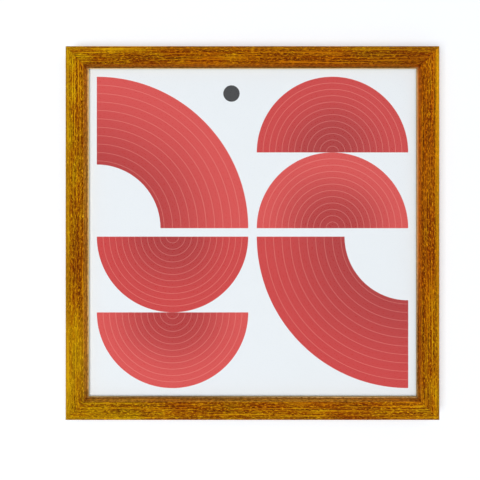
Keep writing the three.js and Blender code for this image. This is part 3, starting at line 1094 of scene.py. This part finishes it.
screw_data, screw_seat = screw_mesh()
for index, (side, place) in enumerate(BUTTONS):
    button = turn_button(side, place)
    smooth_below(button.data, 40)
    dress(
        button, BRASSED, f"button_{side}_{place}", [f"turn_button_{side}_{place}"]
    )
    low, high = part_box(f"button_screw_{side}_{place}")
    screw = linked(f"{side}_{place}_screw", screw_data.copy())
    turn = Matrix.Rotation(FIRST_SCREW_TURN + index * SCREW_TURN_STEP, 4, "Y")
    spot = Matrix.Translation(((low.x + high.x) / 2, screw_seat, (low.z + high.z) / 2))
    screw.data.transform(spot @ turn)
    dress(screw, ZINC, nodes=[f"button_screw_{side}_{place}"])

dress(glass_pane(), glass_material(), nodes=["glass_pane"])
for place in ("left", "right"):
    dress(felt_bumper(place), FELT, nodes=[f"wall_bumper_{place}"])

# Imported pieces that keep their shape
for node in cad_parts:
    if node.startswith("v_nail"):
        soften(node, NAIL_EDGE, ZINC)
    if node.startswith("hanger_nail"):
        soften(node, TACK_EDGE, ZINC, 40)
soften("toothed_hanger", HANGER_EDGE, BRASSED)
coat(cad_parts["printed_sheet"], print_material())
coat(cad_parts["filler_pad"], card_material())
coat(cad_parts["backing_board"], hardboard_material())

# Stage: a white wall that only the camera sees from the front, and a pale floor well below
WALL_Y = 0.6 * MM
WALL_REACH = 3.0
FLOOR_Z = -1.05
SKY_LIGHT = 0.41


def backdrop_material(name, glow, albedo):
    """White to the camera from the front, with the shadows kept. All other rays go through."""
    r = Recipe(bpy.data.materials.new(name))
    camera_ray = r.node("ShaderNodeLightPath").outputs["Is Camera Ray"]
    matt = r.node("ShaderNodeBsdfDiffuse", Color=albedo)
    light = r.node("ShaderNodeEmission", Strength=glow)
    both = r.fed(r.node("ShaderNodeAddShader"), (matt.outputs[0], light.outputs[0]))
    clear = r.node("ShaderNodeBsdfTransparent")
    return r.show(r.blend(r.times(camera_ray, r.outside()), clear, both))


def stage_plane(name, corners, way, material):
    """A flat backdrop that faces one way."""
    plane = mesh_object(name, corners, [(0, 1, 2, 3)])
    if plane.data.polygons[0].normal.dot(way) < 0:
        plane.data.flip_normals()
    coat(plane, material)


def studio_world():
    """White where the camera, gloss or glass shows it, and a soft light on everything else."""
    r = Recipe(bpy.data.worlds.new("studio"), "ShaderNodeOutputWorld")
    rays = r.node("ShaderNodeLightPath").outputs
    shown = r.most(rays["Is Camera Ray"], rays["Is Glossy Ray"], rays["Is Transmission Ray"])
    light, white = (
        r.node("ShaderNodeBackground", Strength=strength, Color=(1, 1, 1, 1))
        for strength in (SKY_LIGHT, 1.0)
    )
    return r.show(r.blend(shown, light, white))


def lamp(name, offset, power, size, mirrored=True):
    """A square soft lamp aimed at the frame's middle. One that isn't mirrored shows in no gloss."""
    data = bpy.data.lights.new(name, "AREA")
    data.energy = power
    data.shape = "SQUARE"
    data.size = size
    made = linked(name, data)
    made.location = MIDDLE + Vector(offset)
    made.rotation_mode = "QUATERNION"
    made.rotation_quaternion = (-Vector(offset)).to_track_quat("-Z", "Y")
    made.visible_camera = False
    made.visible_glossy = mirrored
    return made


wall_outline = rectangle(-WALL_REACH, FLOOR_Z, WALL_REACH, WALL_REACH)
stage_plane(
    "wall", [(x, WALL_Y, z) for x, z in wall_outline], Vector((0, -1, 0)),
    backdrop_material("white_wall", 0.22, (0.77, 0.8, 0.84, 1)),
)
floor_outline = rectangle(-WALL_REACH, -WALL_REACH, WALL_REACH, WALL_REACH)
stage_plane(
    "floor", [(x, y, FLOOR_Z) for x, y in floor_outline], Vector((0, 0, 1)),
    backdrop_material("pale_floor", 0.3, (0.9, 0.9, 0.9, 1)),
)
bpy.context.scene.world = studio_world()
lamp("key", (-0.84, -2.6, -0.62), 45.0, 1.2, mirrored=False)
lamp("fill", (0.9, -2.6, 0.8), 12.0, 1.8, mirrored=False)
glint = lamp("glint", (1.25, -0.85, 0.4), 5.5, 0.9)
glint.visible_diffuse = False
lamp("behind", (0.6, 1.3, 0.5), 9.0, 0.8)

# Camera: a field as wide as the photograph's, the frame right of and above its middle
IMAGE = 480
FRAME_WIDTH_PIXELS = 373.6
FRAME_MIDDLE_PIXEL = (252.5, 233)
CAMERA_DISTANCE = 0.55
CAMERA_RISE = 38 * MM
SENSOR = 36
silhouette_y = BACK_Y - (RAIL_DEPTH - SHOULDER_RADIUS)
field = 2 * HALF * IMAGE / FRAME_WIDTH_PIXELS
camera_data = bpy.data.cameras.new("camera")
camera_data.sensor_width = SENSOR
camera_data.lens = SENSOR * CAMERA_DISTANCE / field
camera_data.shift_x = -(FRAME_MIDDLE_PIXEL[0] - IMAGE / 2) / IMAGE
camera_data.shift_y = -(CAMERA_RISE / field * IMAGE + IMAGE / 2 - FRAME_MIDDLE_PIXEL[1]) / IMAGE
camera = linked("camera", camera_data)
camera.location = (0, silhouette_y - CAMERA_DISTANCE, MIDDLE.z + CAMERA_RISE)
camera.rotation_euler = (math.pi / 2, 0, 0)
bpy.context.scene.camera = camera
bpy.context.scene.view_settings.view_transform = "Standard"
